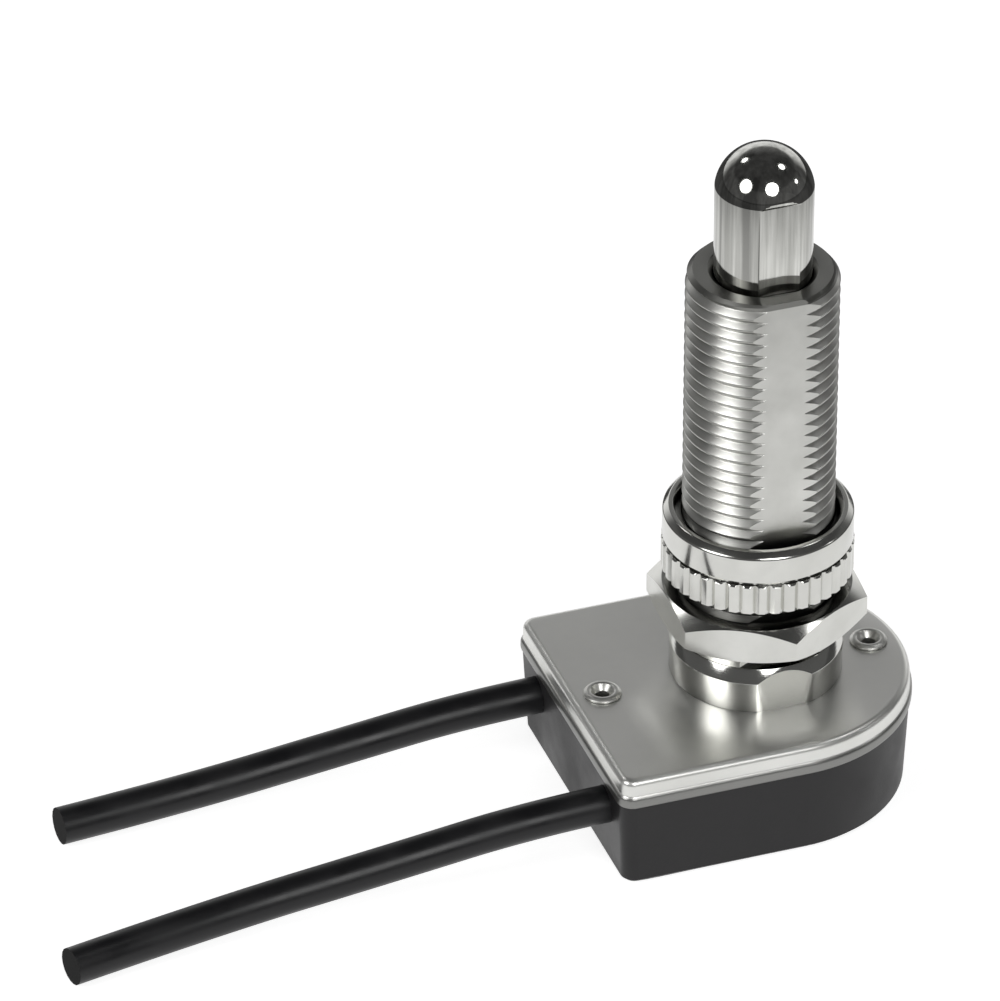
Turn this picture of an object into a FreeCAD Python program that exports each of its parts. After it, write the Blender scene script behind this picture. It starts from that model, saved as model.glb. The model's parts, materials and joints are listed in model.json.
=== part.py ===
import FreeCAD, Part
import math
import os

V = FreeCAD.Vector
UP = V(0, 0, 1)

# Push on, push off lamp switch. Millimetres, +Z up. The origin is on the axis of the bushing,
# in the face that the base stands on. +X points from the lead end to the round nose.

# Body, seen from above as a D: straight at the lead end, round about the bushing's axis
body_half_width = 9.72
body_end = 12.3
body_height = 7.9
body_corner = 0.9
sheet = 0.7
skirt_height = 2.0
hem_height = 0.85
hem_proud = 0.16
bend_radius = 0.45
base_set_back = 0.10
base_draft = 0.16
base_edge = 0.25
wall = 1.0
floor = 1.3
liner_thickness = 0.4

# Bushing and the two nuts on its thread
thread_diameter = 9.525
thread_pitch = 25.4 / 32
thread_depth = 0.36
thread_crest = 0.10
bushing_height = 29.2
bushing_flat = 0.54
bushing_wall = 1.0
bushing_lip = 1.2
bushing_rim = 0.45
lip_reach = 0.6625
collar_step = 0.6875
collar_height = 4.1
collar_flat = 0.31
shoulder_start = 2.1
shoulder_rise = 0.87
neck_step = 0.45
nut_metal = 1.2875
nut_thickness = 2.4
nut_chamfer_angle = 30
ring_metal = 1.2625
ring_height = 4.55
ring_knurl_height = 2.2
ring_knurls = 40
ring_above_nut = 1.05

# Push button, spring and ratchet
button_flat = 0.30
button_stand = 5.95
button_dome = 2.65
press_travel = 2.4
teeth = 8
spring_wire = 0.55
spring_turns = 8.5
seat_thickness = 0.6
pin_diameter = 1.6
pin_foot = 0.45
rotor_diameter = 7.8
rotor_disc = 0.9
index_nose = 0.5
leaf_thickness = 0.22
leaf_tail = 2.4
hub_thickness = 1.2

# Contacts, rivets and leads
strip = 0.4
strip_width = 1.8
contact_radius = 3.1
contact_pad = 0.4
cross_thickness = 0.35
eyelet_diameter = 1.7
eyelet_head = 2.4
eyelet_wall = 0.4
rivet_diameter = 1.0
lead_diameter = 2.4
conductor_diameter = 1.0
lead_inset = 1.72
barrel_clear = 1.3
barrel_length = 2.7
lead_height = 4.2

# Clearances
running_fit = 0.05
tooth_gap = 0.12
stop_gap = 0.05
tooth_backlash = math.radians(1.5)

# Heights up the stack, each from the one below it
cover_under = body_height - sheet
liner_under = cover_under - liner_thickness
skirt_foot = body_height - skirt_height
shoulder_foot = body_height + shoulder_start
neck_foot = shoulder_foot + shoulder_rise
collar_top = body_height + collar_height
bushing_top = body_height + bushing_height
lip_under = bushing_top - bushing_lip
nut_top = collar_top + nut_thickness
ring_foot = nut_top + ring_above_nut
ring_top = ring_foot + ring_height
button_shoulder = bushing_top + button_stand
strip_top = floor + strip
pad_top = strip_top + contact_pad
cross_foot = pad_top + running_fit
cross_top = cross_foot + cross_thickness
rotor_root = cross_top + rotor_disc
rotor_tip = rotor_root + press_travel
driver_tip = rotor_tip + tooth_gap
driver_root = driver_tip + press_travel
driver_hub_top = driver_root + hub_thickness
seat_foot = driver_hub_top + 0.3
seat_top = seat_foot + seat_thickness

# Radii that follow from the ones above
thread_radius = thread_diameter / 2
collar_radius = thread_radius + collar_step
nut_inradius = thread_radius + nut_metal
ring_radius = thread_radius + ring_metal
bore_radius = thread_radius - bushing_wall
lower_bore_radius = bore_radius - 0.3
mouth_radius = bore_radius - lip_reach
button_radius = mouth_radius - running_fit
flange_radius = bore_radius - 2 * running_fit
spring_radius = (bore_radius + button_radius - 1.0) / 2
crown_outer = lower_bore_radius - 0.2
pin_radius = pin_diameter / 2
clip_radius = pin_radius + 0.5
crown_inner = clip_radius + 0.15
stem_radius = 1.2
tooth_pitch = 2 * math.pi / teeth
boss_radius = eyelet_diameter / 2 + 0.95
end_eyelet_x = -(body_end - 2.1)
nose_eyelet_x = body_half_width - 2.1
cavity_half_width = body_half_width - sheet - wall
cavity_end = body_end - sheet - wall
lead_spread = cavity_half_width - lead_inset


def disc(radius, foot, top, x=0.0, y=0.0):
    return Part.makeCylinder(radius, top - foot, V(x, y, foot))


def tube(outer, inner, foot, top, x=0.0, y=0.0):
    return disc(outer, foot, top, x, y).cut(disc(inner, foot, top, x, y))


def block(x0, x1, y0, y1, z0, z1):
    return Part.makeBox(x1 - x0, y1 - y0, z1 - z0, V(x0, y0, z0))


def turned(points, x=0.0, y=0.0):
    """Solid turned about an upright axis from its half section of (radius, height) points."""
    ring = [V(r, 0, z) for r, z in points]
    face = Part.Face(Part.makePolygon(ring + [ring[0]]))
    solid = face.revolve(V(0, 0, 0), UP, 360)
    solid.translate(V(x, y, 0))
    return solid


def d_wire(end, half, corner, z):
    """Outline of the body at height z, anticlockwise from the front of the straight end."""
    nip = corner * (1 - math.sqrt(0.5))
    front = V(-end + corner, -half, z)
    nose_front = V(0, -half, z)
    nose_back = V(0, half, z)
    back = V(-end + corner, half, z)
    end_back = V(-end, half - corner, z)
    end_front = V(-end, -half + corner, z)
    edges = [
        Part.LineSegment(front, nose_front),
        Part.Arc(nose_front, V(half, 0, z), nose_back),
        Part.LineSegment(nose_back, back),
        Part.Arc(back, V(-end + nip, half - nip, z), end_back),
        Part.LineSegment(end_back, end_front),
        Part.Arc(end_front, V(-end + nip, -half + nip, z), front),
    ]
    return Part.Wire([edge.toShape() for edge in edges])


def d_prism(end, half, corner, foot, top):
    return Part.Face(d_wire(end, half, corner, foot)).extrude(V(0, 0, top - foot))


def edges_at(solid, z):
    """Edges that lie wholly at height z."""
    found = []
    for edge in solid.Edges:
        box = edge.BoundBox
        if abs(box.ZMin - z) < 1e-6 and abs(box.ZMax - z) < 1e-6:
            found.append(edge)
    return found


def make_cover_plate():
    """Sheet folded down all round, its edge turned back on itself as a hem."""
    shell = d_prism(body_end, body_half_width, body_corner, skirt_foot, body_height)
    shell = shell.makeFillet(bend_radius, edges_at(shell, body_height))
    hem_top = skirt_foot + hem_height
    proud = body_half_width + hem_proud
    hem = d_prism(body_end + hem_proud, proud, body_corner, skirt_foot, hem_top)
    hem = hem.makeFillet(hem_proud * 0.9, edges_at(hem, hem_top))
    hollow = d_prism(body_end - sheet, body_half_width - sheet, body_corner, skirt_foot, cover_under)
    plate = shell.fuse(hem).cut(hollow)
    plate = plate.cut(keyed_disc(tenon_radius(), cover_under, body_height))
    for x in (end_eyelet_x, nose_eyelet_x):
        plate = plate.cut(disc(eyelet_diameter / 2, cover_under, body_height, x))
    return plate.removeSplitter()


def tenon_radius():
    return collar_radius - 0.85


def keyed_disc(radius, foot, top):
    """Disc with a flat on the side of the bushing's flat, so that it can't turn in its hole."""
    round_disc = disc(radius, foot, top)
    return round_disc.cut(block(-radius, radius, -radius, -(radius - bushing_flat), foot, top))


def make_base():
    """Moulded cup: drafted walls, a rebate for the skirt, bosses, lead holes and rivet holes."""
    foot_half = body_half_width - base_set_back - base_draft
    foot_end = body_end - base_set_back - base_draft
    top_half = body_half_width - base_set_back + 0.12
    top_end = body_end - base_set_back + 0.12
    foot_wire = d_wire(foot_end, foot_half, body_corner, 0)
    rim_wire = d_wire(top_end, top_half, body_corner, skirt_foot)
    cup = Part.makeLoft([foot_wire, rim_wire], True, True)
    cup = cup.makeChamfer(base_edge, edges_at(cup, 0))
    rim = d_prism(body_end - sheet, body_half_width - sheet, body_corner, skirt_foot, liner_under)
    cup = cup.fuse(rim)
    cup = cup.cut(d_prism(cavity_end, cavity_half_width, body_corner, floor, liner_under))
    inside = d_prism(body_end - sheet, body_half_width - sheet, body_corner, floor, liner_under)
    for x in (end_eyelet_x, nose_eyelet_x):
        cup = cup.fuse(disc(boss_radius, floor, liner_under, x).common(inside))
    cup = cup.fuse(index_block().common(inside))
    for x in (end_eyelet_x, nose_eyelet_x):
        cup = cup.cut(disc(eyelet_diameter / 2, 0, liner_under, x))
        cup = cup.cut(disc(eyelet_head / 2 + 0.2, 0, 0.6, x))
    for side in (-1, 1):
        x, y = terminal_rivet_place(side)
        cup = cup.cut(disc(rivet_diameter / 2, 0, floor, x, y))
        cup = cup.cut(disc(rivet_diameter, 0, 0.5, x, y))
        outside = V(-body_end - 1, side * lead_spread, lead_height)
        cup = cup.cut(Part.makeCylinder(lead_diameter / 2, 4, outside, V(1, 0, 0)))
    cup = cup.cut(disc(pin_radius, pin_foot, floor))
    return cup.removeSplitter()


def index_block():
    """Post on the nose side that the foot of the index leaf lies against."""
    x0 = leaf_face()
    reach = leaf_reach()
    post = 2 * index_nose
    return block(x0, x0 + post, -reach, 2.2 * post - reach, floor, rotor_root + 0.6)


def leaf_face():
    return rotor_diameter / 2 + index_nose + leaf_thickness - running_fit


def leaf_reach():
    """How far the leaf runs from the rotor's middle before it meets the round wall."""
    return math.sqrt(cavity_half_width ** 2 - leaf_face() ** 2) - 0.1


def make_index_spring():
    """Flat leaf along the rotor's rim, with a nose that stands just clear of its crests."""
    x1 = leaf_face()
    x0 = x1 - leaf_thickness
    reach = leaf_reach()
    foot = cross_top + 0.1
    top = rotor_root - 0.1
    leaf = block(x0, x1, -reach, leaf_tail, foot, top)
    nose = disc(index_nose, foot, top, rotor_diameter / 2 + running_fit + index_nose, 0)
    return leaf.fuse(nose).removeSplitter()


def make_liner():
    """Fibre sheet between the live parts and the plate."""
    liner = d_prism(body_end - sheet, body_half_width - sheet, body_corner, liner_under, cover_under)
    liner = liner.cut(disc(flare_radius() + 0.05, liner_under, cover_under))
    for x in (end_eyelet_x, nose_eyelet_x):
        liner = liner.cut(disc(eyelet_diameter / 2, liner_under, cover_under, x))
    return liner


def make_eyelet(x):
    """Hollow rivet: rolled head on the plate, clinched tail in its recess under the base."""
    tube_radius = eyelet_diameter / 2
    bore = tube_radius - eyelet_wall
    head = eyelet_head / 2
    return turned([
        (bore, 0.2), (head - 0.2, 0.2), (head, 0.4), (head, 0.6), (tube_radius, 0.6),
        (tube_radius, body_height), (head, body_height), (head, body_height + 0.12),
        (head - 0.22, body_height + 0.3), (bore + 0.18, body_height + 0.3), (bore, body_height + 0.1),
    ], x)


def flare_radius():
    return tenon_radius() + 0.5


def thread_section():
    """Half section of the thread, from the rim down: level V grooves at the thread's own pitch."""
    root = thread_radius - thread_depth
    groove = thread_pitch - thread_crest
    top = bushing_top - bushing_rim
    count = int((top - collar_top - thread_crest) / thread_pitch)
    points = [(thread_radius, top)]
    for number in range(count):
        crest_foot = top - thread_crest - number * thread_pitch
        points.append((thread_radius, crest_foot))
        points.append((root, crest_foot - groove / 2))
        points.append((thread_radius, crest_foot - groove))
    points.append((thread_radius, collar_top))
    return points


def make_bushing():
    """Sleeve with collar, staked into the plate; its mouth is turned in and keyed to the button."""
    flare = flare_radius()
    tenon = tenon_radius()
    neck = collar_radius - neck_step
    flare_foot = cover_under - 0.45
    body = turned([
        (lower_bore_radius, flare_foot), (tenon, flare_foot), (flare, cover_under), (tenon, cover_under),
        (tenon, body_height), (collar_radius, body_height), (collar_radius, shoulder_foot),
        (neck, neck_foot), (neck, collar_top),
        *reversed(thread_section()),
        (thread_radius - bushing_rim, bushing_top), (mouth_radius + 0.25, bushing_top),
        (mouth_radius, bushing_top - 0.25), (mouth_radius, lip_under),
        (bore_radius, lip_under), (bore_radius, seat_foot), (lower_bore_radius, seat_foot),
    ])
    r = collar_radius
    body = body.cut(block(-r, r, -r, -(thread_radius - bushing_flat), neck_foot, bushing_top))
    body = body.cut(block(-r, r, -r, -(r - collar_flat), body_height, collar_top))
    r = bore_radius
    key = disc(r, lip_under, bushing_top - 0.25)
    key = key.common(block(-r, r, -r, -key_depth(), lip_under, bushing_top))
    tenon_flat = block(-flare, flare, -flare, -(tenon - bushing_flat), flare_foot, body_height)
    return body.fuse(key).cut(tenon_flat).removeSplitter()


def key_depth():
    """Distance from the axis to the flat inside the mouth."""
    return button_radius - button_flat + running_fit


def make_spring_seat():
    return tube(bore_radius, stem_radius + 0.1, seat_foot, seat_top)


def make_return_spring():
    """Open coil from the seat to the button's flange."""
    wire = spring_wire / 2
    foot = seat_top + wire
    top = flange_foot() - wire
    pitch = (top - foot) / spring_turns
    path = Part.makeHelix(pitch, top - foot, spring_radius)
    path.translate(V(0, 0, foot))
    section = Part.Wire(Part.makeCircle(wire, V(spring_radius, 0, foot), V(0, 1, 0)))
    return Part.Wire(path).makePipeShell([section], True, True)


def flange_top():
    return lip_under - stop_gap


def flange_foot():
    return flange_top() - 1.6


def make_push_button():
    """Button: domed head and flat shank above, a flange under the lip, a spigot for the spring."""
    spigot = spring_radius - spring_wire / 2 - 0.35
    foot = flange_foot() - 2.0
    socket = flange_foot() - 0.4
    r = button_radius
    h = button_dome
    sphere = (r * r + h * h) / (2 * h)
    centre = button_shoulder + h - sphere
    crown = button_shoulder + h
    half = math.atan2(r, button_shoulder - centre) / 2
    middle = V(sphere * math.sin(half), 0, centre + sphere * math.cos(half))
    corners = [
        V(r, 0, button_shoulder), V(r, 0, flange_top()), V(flange_radius, 0, flange_top()),
        V(flange_radius, 0, flange_foot()), V(spigot, 0, flange_foot()), V(spigot, 0, foot),
        V(stem_radius, 0, foot), V(stem_radius, 0, socket), V(0, 0, socket), V(0, 0, crown),
    ]
    edges = [Part.makeLine(a, b) for a, b in zip(corners, corners[1:])]
    edges.append(Part.Arc(V(0, 0, crown), middle, V(r, 0, button_shoulder)).toShape())
    button = Part.Face(Part.Wire(edges)).revolve(V(0, 0, 0), UP, 360)
    depth = r - button_flat
    bevel = 0.5
    side = [
        V(-r, -depth, flange_top()), V(-r, -r - bevel, flange_top()),
        V(-r, -r - bevel, button_shoulder + bevel), V(-r, -r, button_shoulder + bevel * 0.8),
        V(-r, -depth, button_shoulder - 0.1),
    ]
    flat = Part.Face(Part.makePolygon(side + [side[0]])).extrude(V(2 * r, 0, 0))
    return button.cut(flat).removeSplitter()


def saw_tooth(root, rise, start, stop, inner, outer):
    """One tooth on a crown. Its face climbs evenly with the angle; a negative rise points it down."""
    steps = 3
    sections = []
    for step in range(steps + 1):
        angle = start + (stop - start) * step / steps
        if rise > 0:
            face = root + rise * angle / tooth_pitch
        else:
            face = root + rise * (1 - angle / tooth_pitch)
        back = root - math.copysign(0.2, rise)
        c, s = math.cos(angle), math.sin(angle)
        near, far = inner * 0.8, outer * 1.1
        ring = [V(near * c, near * s, back), V(far * c, far * s, back)]
        ring += [V(far * c, far * s, face), V(near * c, near * s, face)]
        sections.append(Part.makePolygon(ring + [ring[0]]))
    return Part.makeLoft(sections, True, True)


def crown(hub, root, rise, inner, outer):
    """Hub with its ring of saw teeth, trimmed round inside and outside."""
    start, stop = (0.0, tooth_pitch - tooth_backlash) if rise > 0 else (tooth_backlash, tooth_pitch)
    tooth = saw_tooth(root, rise, start, stop, inner, outer)
    low, high = min(root, root + rise) - 0.5, max(root, root + rise) + 0.5
    tooth = tooth.common(tube(outer, inner, low, high))
    ring = []
    for number in range(teeth):
        copy = tooth.copy()
        copy.rotate(V(0, 0, 0), UP, number * 360 / teeth)
        ring.append(copy)
    return hub.fuse(ring).removeSplitter()


def make_driver():
    """Insulating push rod: a long stem up into the button, and teeth that point down."""
    hub = disc(crown_outer, driver_root, driver_hub_top)
    stem = disc(stem_radius, driver_hub_top, flange_foot() - 0.4)
    return crown(hub.fuse(stem), driver_root, -press_travel, crown_inner, crown_outer)


def make_ratchet_rotor():
    """Disc with index notches in its rim and teeth that point up."""
    radius = rotor_diameter / 2
    body = tube(radius, pin_radius + running_fit, cross_top, rotor_root)
    rotor = crown(body, rotor_root, press_travel, crown_inner, crown_outer)
    notches = []
    for number in range(teeth):
        angle = number * tooth_pitch
        x, y = (radius + 0.15) * math.cos(angle), (radius + 0.15) * math.sin(angle)
        notches.append(disc(index_nose, cross_top, rotor_root, x, y))
    return rotor.cut(notches).removeSplitter()


def make_contact_cross():
    """Four arms, half a right angle off the pads while the switch is off."""
    arm = contact_radius + 0.6
    half = 0.7
    bar = block(-arm, arm, -half, half, cross_foot, cross_top)
    other = block(-half, half, -arm, arm, cross_foot, cross_top)
    cross = bar.fuse(other).fuse(disc(1.9, cross_foot, cross_top))
    cross = cross.cut(disc(pin_radius + running_fit, cross_foot, cross_top)).removeSplitter()
    cross.rotate(V(0, 0, 0), UP, math.degrees(tooth_pitch))
    return cross


def make_spring_washer():
    """Coned washer between the rotor and the clip."""
    inner = pin_radius + running_fit
    thick = 0.15
    rise = 0.2
    return turned([
        (clip_radius, rotor_root), (clip_radius, rotor_root + thick),
        (inner, rotor_root + rise + thick), (inner, rotor_root + rise),
    ])


def make_pin_clip():
    foot = rotor_root + 0.35 + running_fit
    return tube(clip_radius, pin_radius, foot, foot + 0.3)


def make_pivot_pin():
    """Pin set in a blind hole in the floor, with a collar that the contact cross turns on."""
    top = rotor_tip - 0.25
    nose = pin_radius * 0.3
    collar = pin_radius + 0.5
    return turned([
        (0, pin_foot), (pin_radius, pin_foot), (pin_radius, floor), (collar, floor), (collar, pad_top),
        (pin_radius, pad_top), (pin_radius, top - nose), (pin_radius - nose, top), (0, top),
    ])


def terminal_rivet_place(side):
    return -3.2, side * lead_spread


def barrel_start():
    """Outer end of the crimp barrels, just inside the end wall."""
    return -(cavity_end - barrel_clear)


def make_terminal(side):
    """Folded strip: a pad under the rotor, a run along the floor, a riser and a crimp barrel."""
    half = strip_width / 2
    barrel_end = barrel_start()
    run_end = barrel_end + barrel_length
    arm = block(-half, half, contact_radius - 0.75, lead_spread + half, floor, strip_top)
    run = block(run_end - strip, half, lead_spread - half, lead_spread + half, floor, strip_top)
    conductor = conductor_diameter / 2
    riser_top = lead_height - conductor - 0.1
    riser = block(run_end - strip, run_end, lead_spread - half, lead_spread + half, floor, riser_top)
    place = V(barrel_end, lead_spread, lead_height)
    barrel = Part.makeCylinder(conductor + strip, barrel_length, place, V(1, 0, 0))
    bore = Part.makeCylinder(conductor, barrel_length, place, V(1, 0, 0))
    pad = Part.makeCone(0.75, 0.5, pad_top - strip_top, V(0, contact_radius, strip_top))
    strip_solid = arm.fuse([run, riser, barrel, pad]).cut(bore)
    x, y = terminal_rivet_place(1)
    strip_solid = strip_solid.cut(disc(rivet_diameter / 2, floor, strip_top, x, y)).removeSplitter()
    if side < 0:
        strip_solid = strip_solid.mirror(V(0, 0, 0), V(0, 1, 0))
    return strip_solid


def make_terminal_rivet(side):
    x, y = terminal_rivet_place(side)
    shank = rivet_diameter / 2
    head = 0.9
    return turned([
        (0, 0.15), (head - 0.15, 0.15), (head, 0.3), (head, 0.5), (shank, 0.5), (shank, strip_top),
        (head, strip_top), (head, strip_top + 0.15), (head - 0.3, strip_top + 0.35),
        (0, strip_top + 0.35),
    ], x, y)


def make_conductor(side):
    """Stripped end of the wire, from the jacket into the barrel."""
    start = lead_route(side)[0]
    length = barrel_start() + barrel_length - 0.2 - start.x
    return Part.makeCylinder(conductor_diameter / 2, length, start, V(1, 0, 0))


def make_locknut():
    """Hexagon nut, chamfered on both faces, with two of its corners across the body."""
    corner = 2 * nut_inradius / math.sqrt(3)
    ring = []
    for number in range(7):
        angle = math.radians(90 + 60 * number)
        ring.append(V(corner * math.cos(angle), corner * math.sin(angle), collar_top))
    prism = Part.Face(Part.makePolygon(ring)).extrude(V(0, 0, nut_thickness))
    crest = nut_inradius * 0.985
    drop = (corner + 0.5 - crest) * math.tan(math.radians(nut_chamfer_angle))
    bore = thread_radius + running_fit
    lead_in = 0.35
    turned_nut = turned([
        (bore + lead_in, collar_top), (crest, collar_top), (corner + 0.5, collar_top + drop),
        (corner + 0.5, nut_top - drop), (crest, nut_top), (bore + lead_in, nut_top),
        (bore, nut_top - lead_in), (bore, collar_top + lead_in),
    ])
    return prism.common(turned_nut)


def make_ring_nut():
    """Round nut: plain band above, a thin groove, and a straight-knurled band below."""
    bore = thread_radius + running_fit
    radius = ring_radius
    plain = radius - 0.05
    groove = radius - 0.28
    knurl_top = ring_foot + ring_knurl_height
    nut = turned([
        (bore, ring_foot + 0.3), (bore + 0.3, ring_foot), (radius - 0.3, ring_foot),
        (radius, ring_foot + 0.2), (radius, knurl_top - 0.08), (radius - 0.1, knurl_top),
        (groove, knurl_top), (groove, knurl_top + 0.2), (plain, knurl_top + 0.28),
        (plain, ring_top - 0.35), (plain - 0.38, ring_top), (bore + 0.5, ring_top),
        (bore, ring_top - 0.5),
    ])
    depth = 0.22
    half = math.pi * radius / ring_knurls * 0.62
    outside = radius + 0.1
    notches = []
    for number in range(ring_knurls):
        corners = [V(radius - depth, 0, ring_foot), V(outside, half, ring_foot)]
        corners.append(V(outside, -half, ring_foot))
        notch = Part.Face(Part.makePolygon(corners + [corners[0]])).extrude(V(0, 0, ring_knurl_height))
        notch.rotate(V(0, 0, 0), UP, (number + 0.5) * 360 / ring_knurls)
        notches.append(notch)
    return nut.cut(notches)


def lead_route(side):
    """Points that a lead runs through, from inside the end wall to its cut end on the surface."""
    start = -(cavity_end - 0.6)
    rest = lead_diameter / 2
    near = -(body_end + 4.2)
    if side > 0:
        return [
            V(start, lead_spread, lead_height), V(near, lead_spread, lead_height),
            V(near - 9.0, lead_spread + 0.35, 2.9), V(near - 18.9, lead_spread + 1.05, rest),
            V(near - 27.3, lead_spread + 0.32, rest),
        ]
    return [
        V(start, -lead_spread, lead_height), V(near, -lead_spread, lead_height),
        V(near - 10.0, -(lead_spread - 0.25), 2.75), V(near - 20.9, -(lead_spread - 0.6), rest),
        V(near - 30.9, -(lead_spread + 1.45), rest),
    ]


def rounded_path(points):
    """Straight runs joined by tangent arcs; returns the wire, its length and the arc radii."""
    edges = []
    radii = []
    place = points[0]
    for before, corner, after in zip(points, points[1:], points[2:]):
        into = (corner - before).normalize()
        out = (after - corner).normalize()
        half_turn = math.acos(max(-1, min(1, into.dot(out)))) / 2
        reach = 0.45 * min((corner - before).Length, (after - corner).Length)
        radius = reach / math.tan(half_turn)
        tangent_in = corner - into * reach
        tangent_out = corner + out * reach
        inward = (out - into).normalize()
        middle = corner + inward * (radius / math.cos(half_turn) - radius)
        edges.append(Part.LineSegment(place, tangent_in).toShape())
        edges.append(Part.Arc(tangent_in, middle, tangent_out).toShape())
        radii.append(radius)
        place = tangent_out
    edges.append(Part.LineSegment(place, points[-1]).toShape())
    wire = Part.Wire(edges)
    return wire, wire.Length, radii


def make_lead(side):
    """Insulated lead as one round solid along its route."""
    points = lead_route(side)
    path, length, radii = rounded_path(points)
    direction = (points[1] - points[0]).normalize()
    section = Part.Wire(Part.makeCircle(lead_diameter / 2, points[0], direction))
    solid = path.makePipeShell([section], True, True)
    area = math.pi * (lead_diameter / 2) ** 2
    share = solid.Volume / (area * length)
    print("lead", side, "length", round(length, 2), "arc radii", [round(r, 1) for r in radii])
    print("lead", side, "volume over section times length", round(share, 4))
    return solid


def main():
    parts = {
        "base": make_base(),
        "cover_plate": make_cover_plate(),
        "liner": make_liner(),
        "end_eyelet": make_eyelet(end_eyelet_x),
        "nose_eyelet": make_eyelet(nose_eyelet_x),
        "bushing": make_bushing(),
        "spring_seat": make_spring_seat(),
        "return_spring": make_return_spring(),
        "push_button": make_push_button(),
        "driver": make_driver(),
        "ratchet_rotor": make_ratchet_rotor(),
        "contact_cross": make_contact_cross(),
        "spring_washer": make_spring_washer(),
        "pivot_pin": make_pivot_pin(),
        "pin_clip": make_pin_clip(),
        "index_spring": make_index_spring(),
        "locknut": make_locknut(),
        "ring_nut": make_ring_nut(),
    }
    for side, name in ((-1, "front"), (1, "rear")):
        parts[name + "_terminal"] = make_terminal(side)
        parts[name + "_terminal_rivet"] = make_terminal_rivet(side)
        parts[name + "_conductor"] = make_conductor(side)
        parts[name + "_lead"] = make_lead(side)
    os.makedirs("parts", exist_ok=True)
    for name, shape in parts.items():
        solids = shape.Solids
        shape = solids[0] if len(solids) == 1 else shape
        box = shape.BoundBox
        print(name, "solids", len(solids), "valid", shape.isValid(), "volume", round(shape.Volume, 2),
              "z", round(box.ZMin, 2), round(box.ZMax, 2))
        shape.exportStep("parts/" + name + ".step")


main()
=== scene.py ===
# %% [markdown]
# # A lamp switch, worked with a push button
# A small canopy switch lies before us: a black moulded base under a folded steel plate, a threaded
# bushing with two nuts, and a domed button that is pushed once for on and once more for off.
# The imported model gives every piece its place. This lesson dresses it: finer metal with real edges
# and a real thread, leads drawn in soft curves like wire, plating, drawn sheet and moulded black
# plastic.
# All lengths below are written in millimetres and turned into metres by one factor.

import json
import math

import bmesh
import bpy
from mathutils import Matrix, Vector

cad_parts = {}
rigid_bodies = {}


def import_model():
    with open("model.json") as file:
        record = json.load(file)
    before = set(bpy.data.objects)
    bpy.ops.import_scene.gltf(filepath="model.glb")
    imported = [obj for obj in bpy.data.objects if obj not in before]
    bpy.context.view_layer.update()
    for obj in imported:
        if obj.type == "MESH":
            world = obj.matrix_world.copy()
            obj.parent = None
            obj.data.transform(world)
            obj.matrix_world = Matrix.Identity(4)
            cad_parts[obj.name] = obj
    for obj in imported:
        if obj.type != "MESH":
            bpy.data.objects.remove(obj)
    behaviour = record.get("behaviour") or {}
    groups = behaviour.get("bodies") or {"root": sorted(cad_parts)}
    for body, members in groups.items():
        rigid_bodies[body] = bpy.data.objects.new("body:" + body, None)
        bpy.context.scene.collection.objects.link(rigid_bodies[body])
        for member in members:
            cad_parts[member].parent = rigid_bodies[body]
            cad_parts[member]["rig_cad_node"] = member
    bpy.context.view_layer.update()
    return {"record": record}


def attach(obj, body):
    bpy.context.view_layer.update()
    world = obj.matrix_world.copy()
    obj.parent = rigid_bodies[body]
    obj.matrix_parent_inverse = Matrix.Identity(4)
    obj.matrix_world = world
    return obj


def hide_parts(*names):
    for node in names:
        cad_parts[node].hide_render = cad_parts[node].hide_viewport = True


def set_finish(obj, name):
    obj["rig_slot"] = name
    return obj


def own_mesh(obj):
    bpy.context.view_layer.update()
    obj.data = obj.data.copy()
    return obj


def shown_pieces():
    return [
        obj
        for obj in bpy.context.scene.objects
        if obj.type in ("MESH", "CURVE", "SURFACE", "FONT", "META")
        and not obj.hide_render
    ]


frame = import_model()
mm = 0.001
turn = 2 * math.pi

# %% [markdown]
# ## The camera
# The picture was taken from the front left and well above, with a long lens, so that the upright
# edges hardly run together. A camera object could be aimed with a constraint, but plain numbers
# keep it fixed: it stands about 55 cm off and looks down by 33 degrees.

# %% Camera
view_turn = math.radians(-19.282)
view_drop = math.radians(33.381)
camera_data = bpy.data.cameras.new("camera")
camera_data.sensor_width = 36
camera_data.lens = 312.24
camera_data.clip_end = 20
camera = bpy.data.objects.new("camera", camera_data)
camera.location = (-163.58 * mm, -419.05 * mm, 316.34 * mm)
camera.rotation_euler = (math.pi / 2 - view_drop, 0, view_turn)
bpy.context.collection.objects.link(camera)
bpy.context.scene.camera = camera
bpy.context.scene.view_settings.view_transform = "Standard"
print("camera stands", round(camera.location.length, 3), "m from the middle of the base")

# %% [markdown]
# ## The two leads
# Two short insulated wires leave the straight end of the base and lie on the bench, each with a
# cut end. A lead is one smooth line with a round section, so a NURBS curve with a bevel is the
# nearest thing to it: the few points pull the line, and it never shows a corner.

# %% Leads
lead_diameter = 2.4
lead_routes = {
    "front_lead": [(-10.0, -6.3, 4.2), (-16.5, -6.3, 4.2), (-26.5, -6.05, 2.75),
                   (-37.4, -5.7, 1.2), (-47.4, -7.75, 1.2)],
    "rear_lead": [(-10.0, 6.3, 4.2), (-16.5, 6.3, 4.2), (-25.5, 6.65, 2.9),
                  (-35.4, 7.35, 1.2), (-43.8, 6.62, 1.2)],
}


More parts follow.
